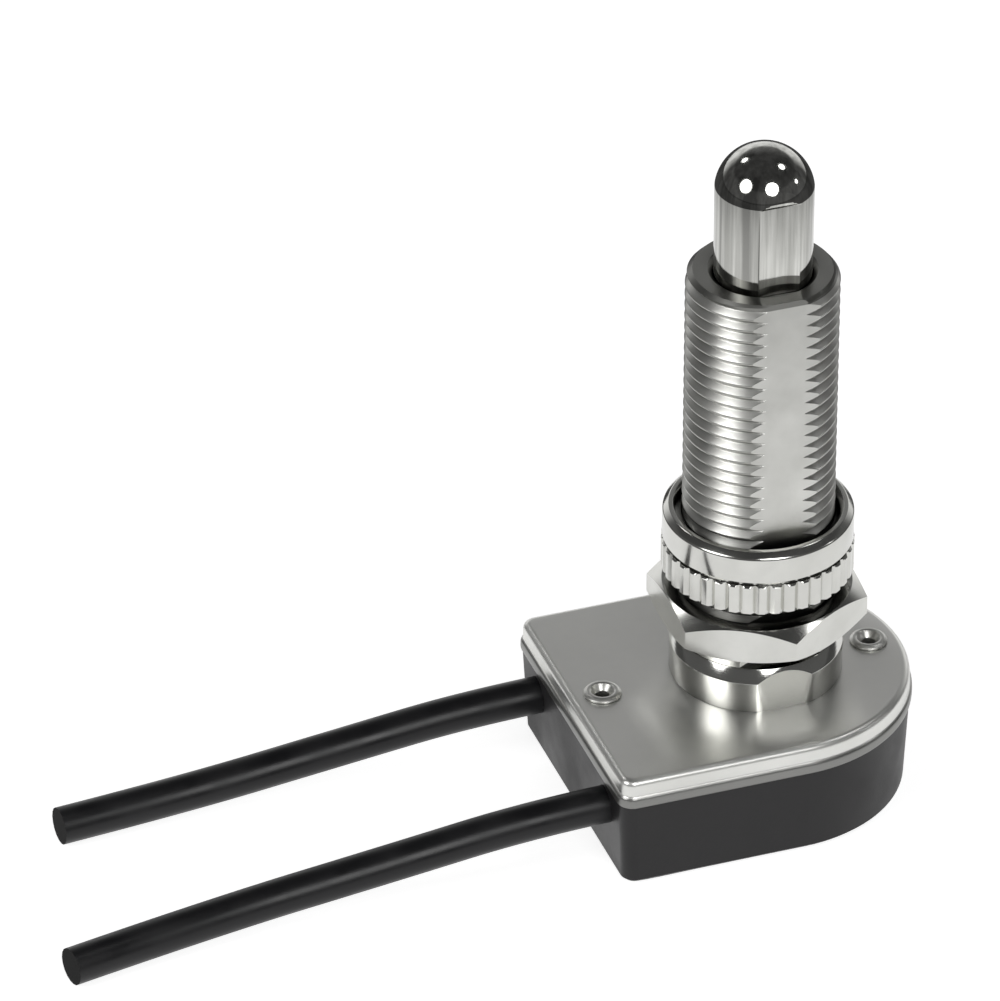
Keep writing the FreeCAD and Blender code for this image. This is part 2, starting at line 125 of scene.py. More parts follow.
def make_lead(node, route):
    """Round lead drawn along its route; the route's points pull the line without corners."""
    curve = bpy.data.curves.new(node + "_wire", "CURVE")
    curve.dimensions = "3D"
    spline = curve.splines.new("NURBS")
    spline.points.add(len(route) - 1)
    for point, (x, y, z) in zip(spline.points, route):
        point.co = (x * mm, y * mm, z * mm, 1)
        point.radius = lead_diameter / 2 * mm
    spline.order_u = 3
    spline.use_endpoint_u = True
    spline.resolution_u = 20
    curve.bevel_depth = 1.0
    curve.bevel_resolution = 7
    curve.use_fill_caps = True
    lead = bpy.data.objects.new(node + "_wire", curve)
    bpy.context.collection.objects.link(lead)
    return lead


for node, route in lead_routes.items():
    lead = make_lead(node, route)
    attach(lead, "housing")
    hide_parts(node)
    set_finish(lead, "lead_jacket")
    print(lead.name, "drawn through", len(route), "points")

# %% [markdown]
# ## Turning
# Most of this switch comes off a lathe, and a lathe makes a shape from its half section. The first
# helper rounds the corners of a half section, as a real tool and the plating both do; the second
# spins the section into a mesh. A screw modifier could spin it too, but a mesh written out point
# by point lets a knurl or a keyed hole bend the radius as it goes round.

# %% Helpers for turned pieces
merge_distance = 1e-7


def rounded(corners, steps=4):
    """Half section with rounded corners; each corner is (radius, height, rounding)."""
    section = []
    for number, (radius, height, rounding) in enumerate(corners):
        here = Vector((radius, height))
        to_last = Vector(corners[number - 1][:2]) - here
        to_next = Vector(corners[(number + 1) % len(corners)][:2]) - here
        if rounding <= 0:
            section.append((radius, height))
            continue
        half = to_last.angle(to_next) / 2
        reach = min(rounding / math.tan(half), 0.48 * to_last.length, 0.48 * to_next.length)
        size = reach * math.tan(half)
        inward = (to_last.normalized() + to_next.normalized()).normalized()
        centre = here + inward * size / math.sin(half)
        start = here + to_last.normalized() * reach - centre
        stop = here + to_next.normalized() * reach - centre
        sweep = math.pi - 2 * half
        for step in range(steps + 1):
            share = step / steps
            a = math.sin((1 - share) * sweep) / math.sin(sweep)
            b = math.sin(share * sweep) / math.sin(sweep)
            place = centre + start * a + stop * b
            section.append((place.x, place.y))
    return section


def add_turned(mesh, section, angles, bend=None, x=0.0, y=0.0):
    """Spins a closed half section into a bmesh; bend changes a radius by height and angle."""
    columns = []
    for angle in angles:
        column = []
        for radius, height in section:
            if bend:
                radius = bend(radius, height, angle)
            place = (x + radius * math.cos(angle), y + radius * math.sin(angle), height)
            column.append(mesh.verts.new([v * mm for v in place]))
        columns.append(column)
    for number, column in enumerate(columns):
        after = columns[(number + 1) % len(columns)]
        for row in range(len(section)):
            up = (row + 1) % len(section)
            mesh.faces.new((column[row], after[row], after[up], column[up]))


def even_angles(count, extra=()):
    """Evenly spaced angles with a few exact ones added, in order."""
    found = [turn * number / count for number in range(count)]
    for angle in extra:
        angle = angle % turn
        found = [a for a in found if abs(a - angle) > 0.2 * turn / count]
        found.append(angle)
    return sorted(found)


def shade_evenly(piece):
    """Weighted normals keep broad faces flat beside their small roundings."""
    even = piece.modifiers.new("even shading", "WEIGHTED_NORMAL")
    even.keep_sharp = True


def finish_piece(name, mesh, body, nodes, slot, sharp=30):
    """Closes a bmesh into a named piece with crisp edges and even shading, and seats it."""
    bmesh.ops.remove_doubles(mesh, verts=mesh.verts, dist=merge_distance)
    bmesh.ops.dissolve_degenerate(mesh, edges=mesh.edges, dist=merge_distance)
    bmesh.ops.recalc_face_normals(mesh, faces=mesh.faces)
    data = bpy.data.meshes.new(name)
    mesh.to_mesh(data)
    mesh.free()
    data.shade_smooth()
    data.set_sharp_from_angle(angle=math.radians(sharp))
    piece = bpy.data.objects.new(name, data)
    bpy.context.collection.objects.link(piece)
    shade_evenly(piece)
    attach(piece, body)
    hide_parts(*nodes)
    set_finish(piece, slot)
    print(name, "has", len(data.polygons), "faces")
    return piece


def cut_flat(mesh, point, outward):
    """Mills a bmesh along a plane: what lies outward of it goes, and the cut is closed."""
    everything = mesh.verts[:] + mesh.edges[:] + mesh.faces[:]
    place = [v * mm for v in point]
    cut = bmesh.ops.bisect_plane(mesh, geom=everything, plane_co=place, plane_no=outward,
                                 clear_outer=True, dist=1e-8)
    edges = [e for e in cut["geom_cut"] if isinstance(e, bmesh.types.BMEdge)]
    edges = [e for e in edges if e.is_boundary]
    bmesh.ops.triangle_fill(mesh, edges=edges, use_beauty=True)


# %% [markdown]
# ## The threaded bushing
# The bushing is a brass tube with 32 turns of thread to the inch and a flat milled down its front,
# so that it can't turn in its panel. A picture of a thread on a smooth tube would give itself away
# at the outline. Here the rows of the mesh follow the helix, and each row knows how deep it lies;
# the flat is then cut through it with one plane, just as the mill does. The collar at its foot is
# wider, slopes in to a neck under the locknut, and has a small flat of its own.

# %% Bushing
plate_top = 7.9
collar_top = 12.0
collar_radius = 5.45
shoulder_foot = 10.0
neck_foot = 10.87
neck_radius = 5.0
bushing_top = 37.1
thread_radius = 4.7625
thread_pitch = 25.4 / 32
thread_depth = 0.36
thread_rows = [(0.0, 0.0), (0.06, 0.03), (0.13, 0.13), (0.43, 0.88), (0.5, 1.0), (0.57, 0.88),
               (0.87, 0.13), (0.94, 0.03)]
rim_chamfer = 0.45
flat_distance = thread_radius - 0.54
collar_flat_distance = collar_radius - 0.31
mouth_radius = 3.10
mouth_rounding = 0.25
mouth_depth = 1.2
key_distance = 2.80
key_top = bushing_top - 0.24
key_foot = bushing_top - 1.3
bore_radius = 3.7625
lower_bore = 3.4625
seat_foot = 9.82
tenon_radius = 4.6
tenon_foot = 6.75
flare_radius = 5.1
flare_top = 7.2


def thread_surface(height, angle):
    """Radius of the thread, with the chamfer at its end."""
    phase = (height / thread_pitch - angle / turn) % 1.0
    rows = thread_rows + [(1.0, 0.0)]
    share = 0.0
    for (p0, d0), (p1, d1) in zip(rows, rows[1:]):
        if p0 <= phase <= p1:
            share = d0 + (d1 - d0) * (phase - p0) / (p1 - p0)
    cone = thread_radius - max(0.0, height - (bushing_top - rim_chamfer))
    return min(thread_radius - thread_depth * share, cone)


def thread_grid(mesh, columns, low, high):
    """Adds rows that climb with the helix, held between two heights."""
    per_turn = len(thread_rows)
    first = math.floor(low / thread_pitch) - 2
    last = math.ceil(high / thread_pitch) + 2
    rings = []
    for column in range(columns):
        angle = turn * column / columns
        ring = []
        for number in range(first, last):
            for phase, _ in thread_rows:
                height = thread_pitch * (number + phase + column / columns)
                height = min(max(height, low), high)
                radius = thread_surface(height, angle)
                place = (radius * math.cos(angle), radius * math.sin(angle), height)
                ring.append(mesh.verts.new([v * mm for v in place]))
        rings.append(ring)
    rows = len(rings[0])
    for column in range(columns):
        here = rings[column]
        over = rings[(column + 1) % columns]
        shift = per_turn if column == columns - 1 else 0
        for row in range(rows - 1 - shift):
            corners = (here[row], over[row + shift], over[row + 1 + shift], here[row + 1])
            mesh.faces.new(corners)
    bmesh.ops.remove_doubles(mesh, verts=mesh.verts, dist=merge_distance)


def keyed_mouth(radius, height, angle):
    """The mouth's hole has a flat on the front, which keeps the button from turning."""
    reach = -math.sin(angle)
    in_mouth = radius <= mouth_radius + 1e-6 and key_foot < height < key_top
    if in_mouth and reach > 0:
        return min(radius, key_distance / reach)
    return radius


def ring_inside(mesh, edge, radius, height):
    """New ring of points beside a sorted edge, joined to it by faces."""
    ring = []
    for vertex in edge:
        flat = Vector((vertex.co.x, vertex.co.y, 0)).normalized() * radius * mm
        ring.append(mesh.verts.new((flat.x, flat.y, height * mm)))
    for number in range(len(edge)):
        after = (number + 1) % len(edge)
        mesh.faces.new((edge[number], edge[after], ring[after], ring[number]))
    return ring


sleeve = bmesh.new()
columns = 200
thread_grid(sleeve, columns, collar_top, bushing_top)
rim_outer = thread_radius - rim_chamfer
rim_inner = rim_outer - 0.12
foot_inner = 4.0
ends = {}
for height in (bushing_top, collar_top):
    edge = [v for v in sleeve.verts if abs(v.co.z - height * mm) < 1e-8]
    ends[height] = sorted(edge, key=lambda v: math.atan2(v.co.y, v.co.x) % turn)
ring_inside(sleeve, ends[bushing_top], rim_inner, bushing_top)
ring = ends[collar_top]
for radius, height in ((neck_radius - 0.05, collar_top), (neck_radius, collar_top - 0.05),
                       (neck_radius, neck_foot), (foot_inner, neck_foot)):
    ring = ring_inside(sleeve, ring, radius, height)
cut_flat(sleeve, (0, -flat_distance, 0), (0, -1, 0))

mouth_section = rounded([
    (rim_inner, bushing_top, 0), (mouth_radius + 0.30, bushing_top, 0.08),
    (mouth_radius, bushing_top - mouth_rounding, 0.05),
    (mouth_radius, bushing_top - 2 * mouth_rounding, 0),
    (mouth_radius, bushing_top - mouth_depth, 0), (bore_radius, bushing_top - mouth_depth, 0),
    (bore_radius, neck_foot, 0), (foot_inner, neck_foot, 0),
])
key_half = math.acos(key_distance / mouth_radius)
angles = even_angles(columns, (-turn / 4 - key_half, -turn / 4 + key_half))
inner = bmesh.new()
add_turned(inner, mouth_section, angles, keyed_mouth)
closing = []  # the tall faces that only close the section; the thread stands in their place
tall = 20.0
outer_side = 3.9
for face in inner.faces:
    heights = [v.co.z for v in face.verts]
    nearest = min(Vector(v.co[:2]).length for v in face.verts)
    if max(heights) - min(heights) > tall * mm and nearest > outer_side * mm:
        closing.append(face)
bmesh.ops.delete(inner, geom=closing, context="FACES_ONLY")

collar_section = rounded([
    (lower_bore, tenon_foot, 0), (tenon_radius, tenon_foot, 0.05), (flare_radius, flare_top, 0.05),
    (tenon_radius, flare_top, 0), (tenon_radius, plate_top, 0),
    (collar_radius, plate_top, 0.04), (collar_radius, shoulder_foot, 0.12),
    (neck_radius + 0.03, neck_foot, 0.06), (bore_radius, neck_foot, 0),
    (bore_radius, seat_foot, 0), (lower_bore, seat_foot, 0),
])
collar = bmesh.new()
add_turned(collar, collar_section, even_angles(144))
cut_flat(collar, (0, -collar_flat_distance, 0), (0, -1, 0))
for part in (inner, collar):
    part_mesh = bpy.data.meshes.new("bushing part")
    part.to_mesh(part_mesh)
    part.free()
    sleeve.from_mesh(part_mesh)
    bpy.data.meshes.remove(part_mesh)
finish_piece("bushing_threaded", sleeve, "housing", ["bushing"], "bright_nickel", 20)

# %% [markdown]
# ## The button
# The button is one turned piece: a high dome on a straight shank, with a flat down its front that
# slides in the keyed mouth. The dome is part of a true sphere, so the lamps of the room show in it
# as small round spots. The flat ends in a slope under the dome, cut here with a boolean, because
# what is taken away has a corner in it that two straight cuts would not leave.

# %% Button
shank_radius = 3.05
shank_flat = 2.75
dome_foot = 43.05
dome_height = 2.65
flange_top = 35.85
flange_height = 1.6
flange_radius = 3.6625
dome_steps = 24
mill_front = 4.5
mill_side = 4
dome_radius = (shank_radius ** 2 + dome_height ** 2) / (2 * dome_height)
dome_centre = dome_foot + dome_height - dome_radius
dome_start = math.asin((dome_foot - dome_centre) / dome_radius)
section = rounded([
    (0, flange_top - flange_height, 0), (flange_radius, flange_top - flange_height, 0.05),
    (flange_radius, flange_top, 0.1),
    (shank_radius, flange_top, 0.05), (shank_radius, dome_foot - 0.05, 0),
])
for step in range(dome_steps + 1):
    lift = dome_start + (math.pi / 2 - dome_start) * step / dome_steps
    section.append((dome_radius * math.cos(lift), dome_centre + dome_radius * math.sin(lift)))
button_mesh = bmesh.new()
add_turned(button_mesh, section, even_angles(160))
button = finish_piece("button_domed", button_mesh, "button", ["push_button"], "bright_nickel")

slope = [(-shank_flat, flange_top), (-mill_front, flange_top), (-mill_front, dome_foot + 0.9),
         (-shank_radius, dome_foot + 0.40), (-shank_flat, dome_foot - 0.1)]
mill = bmesh.new()
for side in (-mill_side, mill_side):
    for y, z in slope:
        mill.verts.new((side * mm, y * mm, z * mm))
mill.verts.ensure_lookup_table()
count = len(slope)
mill.faces.new([mill.verts[n] for n in range(count)])
mill.faces.new([mill.verts[2 * count - 1 - n] for n in range(count)])
for number in range(count):
    after = (number + 1) % count
    mill.faces.new([mill.verts[n] for n in (number, number + count, after + count, after)])
bmesh.ops.recalc_face_normals(mill, faces=mill.faces)
mill_data = bpy.data.meshes.new("mill")
mill.to_mesh(mill_data)
mill.free()
cutter = bpy.data.objects.new("mill", mill_data)
bpy.context.collection.objects.link(cutter)
cut = button.modifiers.new("flat", "BOOLEAN")
cut.operation = "DIFFERENCE"
cut.solver = "EXACT"
cut.object = cutter
button.modifiers.move(len(button.modifiers) - 1, 0)
bpy.context.view_layer.update()
settled = bpy.context.evaluated_depsgraph_get()
milled = bpy.data.meshes.new_from_object(button.evaluated_get(settled))
button.modifiers.clear()
button.data = milled
bpy.data.objects.remove(cutter)
milled.set_sharp_from_angle(angle=math.radians(18))
shade_evenly(button)
print("button milled:", len(milled.polygons), "faces, dome radius", round(dome_radius, 2))

# %% [markdown]
# ## The locknut
# A hexagon nut is a bar with six flats, turned to a cone on both faces. Six straight cuts through
# a turned blank give just the curved edges that every real nut has, without drawing them.

# %% Locknut
nut_half_flats = 6.05
nut_foot = collar_top
nut_top = 14.4
nut_bore = 4.8125
nut_lead_in = 0.35
blank = nut_half_flats / math.cos(math.pi / 6) + 0.4
crest = nut_half_flats * 0.985
drop = (blank - crest) * math.tan(math.radians(30))
section = rounded([
    (nut_bore, nut_foot + nut_lead_in, 0), (nut_bore + nut_lead_in, nut_foot, 0.05),
    (crest, nut_foot, 0.05),
    (blank, nut_foot + drop, 0), (blank, nut_top - drop, 0), (crest, nut_top, 0.05),
    (nut_bore + nut_lead_in, nut_top, 0.05), (nut_bore, nut_top - nut_lead_in, 0),
])
nut = bmesh.new()
add_turned(nut, section, even_angles(180))
for number in range(6):
    angle = turn * number / 6
    outward = (math.cos(angle), math.sin(angle), 0)
    cut_flat(nut, [nut_half_flats * v for v in outward], outward)
finish_piece("locknut_hexagon", nut, "locknut_body", ["locknut"], "bright_nickel", 16)

# %% [markdown]
# ## The round nut
# The round nut is knurled for the fingers on its lower half: forty straight grooves rolled into the
# band, then a thin turned groove, then a plain band. The knurl is a bend of the radius, so it
# runs out cleanly in the groove above and in the chamfer below.

# %% Round nut
ring_foot = 15.45
ring_top = 20.0
ring_radius = 6.025
knurl_top = ring_foot + 2.2
knurls = 40
knurl_depth = 0.22
knurl_share = 0.62
ring_lead_in = 0.3
ring_lead_out = 0.5
bore_side = 5.2


def knurled(radius, height, angle):
    """Takes the grooves out of the lower band."""
    if height > knurl_top + 0.01 or radius < bore_side:
        return radius
    phase = (angle / turn * knurls) % 1.0
    from_groove = abs(phase - 0.5) / (knurl_share / 2)
    if from_groove >= 1:
        return radius
    return min(radius, ring_radius - knurl_depth * (1 - from_groove))


section = rounded([
    (nut_bore, ring_foot + ring_lead_in, 0), (nut_bore + ring_lead_in, ring_foot, 0.04),
    (ring_radius - 0.3, ring_foot, 0.05),
    (ring_radius, ring_foot + 0.2, 0.06), (ring_radius, knurl_top - 0.1, 0.06),
    (ring_radius - 0.1, knurl_top, 0.02), (ring_radius - 0.28, knurl_top, 0.01),
    (ring_radius - 0.28, knurl_top + 0.2, 0.01), (ring_radius - 0.05, knurl_top + 0.28, 0.05),
    (ring_radius - 0.05, ring_top - 0.35, 0.25), (ring_radius - 0.43, ring_top, 0.12),
    (nut_bore + ring_lead_out, ring_top, 0.05), (nut_bore, ring_top - ring_lead_out, 0.03),
])
samples = [0.0, 0.1, 0.19, 0.25, 0.32, 0.40, 0.47, 0.5, 0.53, 0.60, 0.68, 0.75, 0.81, 0.90]
angles = [turn * (number + share) / knurls for number in range(knurls) for share in samples]
ring = bmesh.new()
add_turned(ring, section, angles, knurled)
finish_piece("ring_nut_knurled", ring, "ring_nut_body", ["ring_nut"], "bright_nickel", 24)

# %% [markdown]
# ## The cover plate
# The plate is drawn from sheet like a lid: flat top, a tight fold, a short skirt, and the edge
# turned back on itself as a hem. Its outline is a D. The section is carried round that outline,
# which keeps the fold and the hem the same width everywhere; the flat top is filled in between.

# %% Cover plate
half_width = 9.72
body_end = 12.3
corner = 0.9
sheet = 0.7
fold = 0.45
skirt_foot = plate_top - 2.0
hem_height = 0.85
hem_proud = 0.16
nose_steps = 96
corner_steps = 12
eyelet_hole = 0.85
eyelet_places = {"end_eyelet": -(body_end - 2.1), "nose_eyelet": half_width - 2.1}


def d_outline(inset):
    """Points of the D outline moved inward by inset, with the same count at every inset."""
    half = half_width - inset
    end = body_end - inset
    small = max(corner - inset, 0.12)
    turn_x = -(end - small)
    turn_y = half - small
    points = []
    for step in range(nose_steps + 1):
        angle = -turn / 4 + turn / 2 * step / nose_steps
        points.append((half * math.cos(angle), half * math.sin(angle)))
    for share in (0.33, 0.66):
        points.append((turn_x * share, half))
    for step in range(corner_steps + 1):
        angle = turn / 4 * (1 + step / corner_steps)
        points.append((turn_x + small * math.cos(angle), turn_y + small * math.sin(angle)))
    for share in (0.25, 0.5, 0.75):
        points.append((-end, turn_y * (1 - 2 * share)))
    for step in range(corner_steps + 1):
        angle = turn / 4 * (2 + step / corner_steps)
        points.append((turn_x + small * math.cos(angle), -turn_y + small * math.sin(angle)))
    for share in (0.66, 0.33):
        points.append((turn_x * share, -half))
    return points


profile = []
for step in range(9):
    angle = turn / 4 * (1 - step / 8)
    profile.append((fold - fold * math.cos(angle), plate_top - fold + fold * math.sin(angle)))
hem_top = skirt_foot + hem_height
profile += [(0.0, hem_top + 0.12), (0.0, hem_top + 0.03), (-0.02, hem_top), (-0.06, hem_top - 0.05),
            (-0.11, hem_top - 0.10), (-0.15, hem_top - 0.20), (-hem_proud, hem_top - 0.34),
            (-hem_proud, skirt_foot + 0.26), (-0.14, skirt_foot + 0.13), (-0.06, skirt_foot + 0.03),
            (0.06, skirt_foot), (sheet - 0.1, skirt_foot), (sheet, skirt_foot + 0.06),
            (sheet, plate_top - sheet)]
plate = bmesh.new()
rings = []
for inset, height in profile:
    ring = [plate.verts.new((x * mm, y * mm, height * mm)) for x, y in d_outline(inset)]
    rings.append(ring)
for ring, under in zip(rings, rings[1:]):
    for number in range(len(ring)):
        after = (number + 1) % len(ring)
        plate.faces.new((ring[number], ring[after], under[after], under[number]))


def hole_loop(mesh, radius, x, height, count=64):
    """Ring of points for a round hole."""
    ring = []
    for number in range(count):
        angle = turn * number / count
        place = (x + radius * math.cos(angle), radius * math.sin(angle), height)
        ring.append(mesh.verts.new([v * mm for v in place]))
    return ring


def joined(mesh, ring):
    """The edges of a ring, made where they are missing."""
    edges = []
    for number, vertex in enumerate(ring):
        after = ring[(number + 1) % len(ring)]
        edge = mesh.edges.get((vertex, after))
        edges.append(edge or mesh.edges.new((vertex, after)))
    return edges


hole_rings = []
for ring, height in ((rings[0], plate_top), (rings[-1], plate_top - sheet)):
    edges = joined(plate, ring)
    holes = [hole_loop(plate, tenon_radius, 0.0, height)]
    holes += [hole_loop(plate, eyelet_hole, x, height) for x in eyelet_places.values()]
    for hole in holes:
        edges += joined(plate, hole)
    bmesh.ops.triangle_fill(plate, edges=edges, use_beauty=True)
    hole_rings.append(holes)
for upper, lower in zip(*hole_rings):
    for number in range(len(upper)):
        after = (number + 1) % len(upper)
        plate.faces.new((upper[number], upper[after], lower[after], lower[number]))
finish_piece("cover_plate_drawn", plate, "housing", ["cover_plate"], "satin_steel", 35)

# %% [markdown]
# ## The eyelets
# Two hollow rivets hold the plate on the base. The head is the tube's own wall, rolled outward, so
# it is round on top and dives into the hole without a corner.

# %% Eyelets
eyelet_bore = 0.45
eyelet_roll = 1.2
eyelet_foot = 0.2
foot_seat = 0.6
for node, x in eyelet_places.items():
    section = rounded([
        (eyelet_bore, eyelet_foot, 0), (1.0, eyelet_foot, 0.05), (eyelet_roll, 0.4, 0.1),
        (eyelet_roll, foot_seat, 0.05), (eyelet_hole, foot_seat, 0), (eyelet_hole, plate_top, 0),
        (eyelet_roll, plate_top, 0.05), (eyelet_roll, plate_top + 0.14, 0.12),
        (0.98, plate_top + 0.3, 0.16), (0.78, plate_top + 0.3, 0.14),
        (eyelet_bore, plate_top - 0.1, 0.15),
    ])
    rivet = bmesh.new()
    add_turned(rivet, section, even_angles(72), x=x)
    finish_piece(node + "_rolled", rivet, "housing", [node], "bright_nickel", 40)

# %% [markdown]
# ## The return spring
# Inside the bushing a coil pushes the button back. It shortens with the stroke; here it is one
# fixed coil.

# %% Return spring
seat_top = 10.42
spring_top = 34.25
wire_radius = 0.275
coil_radius = 2.90625
coil_turns = 8.5
steps_per_turn = 40
wire_sides = 10
coil_steps = int(coil_turns * steps_per_turn)
coil_columns = []
coil = bmesh.new()
for step in range(coil_steps + 1):
    angle = turn * step / steps_per_turn
    height = seat_top + wire_radius + (spring_top - seat_top - 2 * wire_radius) * step / coil_steps
    ring = []
    for side in range(wire_sides):
        lean = turn * side / wire_sides
        radius = coil_radius + wire_radius * math.cos(lean)
        lift = wire_radius * math.sin(lean)
        place = (radius * math.cos(angle), radius * math.sin(angle), height + lift)
        ring.append(coil.verts.new([v * mm for v in place]))
    coil_columns.append(ring)
for ring, over in zip(coil_columns, coil_columns[1:]):
    for side in range(wire_sides):
        after = (side + 1) % wire_sides
        coil.faces.new((ring[side], over[side], over[after], ring[after]))
coil.faces.new(coil_columns[0])
coil.faces.new(list(reversed(coil_columns[-1])))
spring = finish_piece("return_spring_coil", coil, "housing", ["return_spring"], "spring_steel", 50)
spring.modifiers.clear()
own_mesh(spring)

# %% [markdown]
# ## Effects that several finishes share
# Four effects come back in many of the finishes. Each is a node group, built once: fine rings left
# by a lathe tool, long streaks left by drawing or rubbing, soft smudges from handling, and painted
# shade, a dark colour that ambient occlusion puts into corners and grooves where shade falls. They
# give plain values, and each material mixes them in at its own strength.

# %% Node groups
def new_group(name, inputs, outputs):
    """Empty shader group with number inputs and outputs."""
    group = bpy.data.node_groups.new(name, "ShaderNodeTree")
    for label, value in inputs.items():
        socket = group.interface.new_socket(label, in_out="INPUT", socket_type="NodeSocketFloat")
        socket.default_value = value
    for label in outputs:
        group.interface.new_socket(label, in_out="OUTPUT", socket_type="NodeSocketFloat")
    return group, group.nodes.new("NodeGroupInput"), group.nodes.new("NodeGroupOutput")


def feed(tree, socket, value):
    """Gives a socket a number, or links another socket to it."""
    if isinstance(value, (int, float)):
        socket.default_value = value
    else:
        tree.links.new(value, socket)


def math_node(tree, operation, *values):
    """Math node fed by sockets or numbers; returns its result."""
    node = tree.nodes.new("ShaderNodeMath")
    node.operation = operation
    for socket, value in zip(node.inputs, values):
        feed(tree, socket, value)
    return node.outputs[0]


def ranged(tree, value, start, stop, low=0.0, high=1.0, smooth=False):
    """What runs from start to stop becomes a value from low to high, and is held beyond."""
    node = tree.nodes.new("ShaderNodeMapRange")
    if smooth:
        node.interpolation_type = "SMOOTHSTEP"
    for label, given in (("Value", value), ("From Min", start), ("From Max", stop),
                         ("To Min", low), ("To Max", high)):
        feed(tree, node.inputs[label], given)
    return node.outputs[0]


def noise(tree, vector, scale, detail=2.0, roughness=0.5, dimensions="3D"):
    """Noise texture on a vector or a single value; returns its value."""
    node = tree.nodes.new("ShaderNodeTexNoise")
    node.noise_dimensions = dimensions
    feed(tree, node.inputs["Scale"], scale)
    node.inputs["Detail"].default_value = detail
    node.inputs["Roughness"].default_value = roughness
    tree.links.new(vector, node.inputs["W" if dimensions == "1D" else "Vector"])
    return node.outputs["Fac"]


def place_parts(tree):
    """Height above the bench, distance from the upright axis, and the place itself."""
    place = tree.nodes.new("ShaderNodeTexCoord").outputs["Object"]
    split = tree.nodes.new("ShaderNodeSeparateXYZ")
    tree.links.new(place, split.inputs[0])
    x, y, z = split.outputs
    square = math_node(tree, "MULTIPLY_ADD", x, x, math_node(tree, "MULTIPLY", y, y))
    return z, math_node(tree, "SQRT", square), place


tool_rings, put_in, put_out = new_group("tool rings", {"Rings per metre": 9000.0}, ["Height"])
z, distance, place = place_parts(tool_rings)
along = math_node(tool_rings, "ADD", z, math_node(tool_rings, "MULTIPLY", distance, 0.83))
along = math_node(tool_rings, "MULTIPLY", along, put_in.outputs["Rings per metre"])
rings_value = noise(tool_rings, along, 1.0, 3.0, 0.6, "1D")
tool_rings.links.new(rings_value, put_out.inputs["Height"])

streaks, put_in, put_out = new_group("streaks", {"Across": 3000.0, "Along": 120.0},
                                     ["Height", "Mask"])
place = streaks.nodes.new("ShaderNodeTexCoord").outputs["Object"]
split = streaks.nodes.new("ShaderNodeSeparateXYZ")
streaks.links.new(place, split.inputs[0])
join = streaks.nodes.new("ShaderNodeCombineXYZ")
for number, label in enumerate(("Across", "Across", "Along")):
    scaled = math_node(streaks, "MULTIPLY", split.outputs[number], put_in.outputs[label])
    streaks.links.new(scaled, join.inputs[number])
fine = noise(streaks, join.outputs[0], 1.0, 3.0, 0.6)
streaks.links.new(fine, put_out.inputs["Height"])
streaks.links.new(ranged(streaks, fine, 0.38, 0.62), put_out.inputs["Mask"])

smudges, put_in, put_out = new_group("smudges", {"Size": 180.0}, ["Mask", "Grain"])
place = smudges.nodes.new("ShaderNodeTexCoord").outputs["Object"]
broad = noise(smudges, place, put_in.outputs["Size"], 4.0, 0.55)
grain = noise(smudges, place, 9000.0, 2.0, 0.5)
smudges.links.new(ranged(smudges, broad, 0.35, 0.70), put_out.inputs["Mask"])
smudges.links.new(grain, put_out.inputs["Grain"])

# Painted shade: ambient occlusion darkens the colour in corners and grooves, where shade falls.
painted_shade, put_in, put_out = new_group("corner film", {"Reach": 0.002, "From": 0.25, "To": 0.65},
                                  ["Mask"])
hidden = painted_shade.nodes.new("ShaderNodeAmbientOcclusion")
hidden.samples = 6
painted_shade.links.new(put_in.outputs["Reach"], hidden.inputs["Distance"])
shade_mask = ranged(painted_shade, hidden.outputs["AO"], put_in.outputs["From"], put_in.outputs["To"],
                  1.0, 0.0)
painted_shade.links.new(shade_mask, put_out.inputs["Mask"])
print("groups:", [g.name for g in bpy.data.node_groups])

# %% [markdown]
# ## The finishes
# Every finish starts from one principled shader. Metals have their colour in the reflection itself,
# so what matters is how rough they are and how that changes over the surface; black plastics are
# all in their soft highlight. The helper wires the shared groups to roughness, colour and bump.

# %% Helper for finishes
def new_material(name, colour, metallic, roughness, specular=0.5):
    """Principled material with its constants on the shader's own sockets."""
    material = bpy.data.materials.new(name)
    material.use_nodes = True
    tree = material.node_tree
    shader = tree.nodes["Principled BSDF"]
    shader.inputs["Base Color"].default_value = (*colour, 1)
    shader.inputs["Metallic"].default_value = metallic
    shader.inputs["Roughness"].default_value = roughness
    shader.inputs["Specular IOR Level"].default_value = specular
    return material, tree, shader


def group_node(tree, group, **values):
    """Places a shared group with its own values; names use _ for a space."""
    node = tree.nodes.new("ShaderNodeGroup")
    node.node_tree = group
    for label, value in values.items():
        node.inputs[label.replace("_", " ")].default_value = value
    return node


def spread_between(tree, mask, low, high):
    """Mask from 0 to 1 becomes a value from low to high."""
    return ranged(tree, mask, 0.0, 1.0, low, high)


def blend_colours(tree, mask, low, high):
    """Colour that moves from low to high with a mask; low may be a colour that already varies."""
    node = tree.nodes.new("ShaderNodeMix")
    node.data_type = "RGBA"
    sockets = [s for s in node.inputs if s.type == "RGBA"]
    for socket, colour in zip(sockets, (low, high)):
        if isinstance(colour, tuple):
            socket.default_value = (*colour, 1)
        else:
            tree.links.new(colour, socket)
    tree.links.new(mask, node.inputs["Factor"])
    return [s for s in node.outputs if s.type == "RGBA"][0]


def add_bump(tree, shader, height, strength, distance):
    """Bump from a height value; distance is its depth in millimetres."""
    bump = tree.nodes.new("ShaderNodeBump")
    bump.inputs["Strength"].default_value = strength
    bump.inputs["Distance"].default_value = distance * mm
    tree.links.new(height, bump.inputs["Height"])
    tree.links.new(bump.outputs["Normal"], shader.inputs["Normal"])
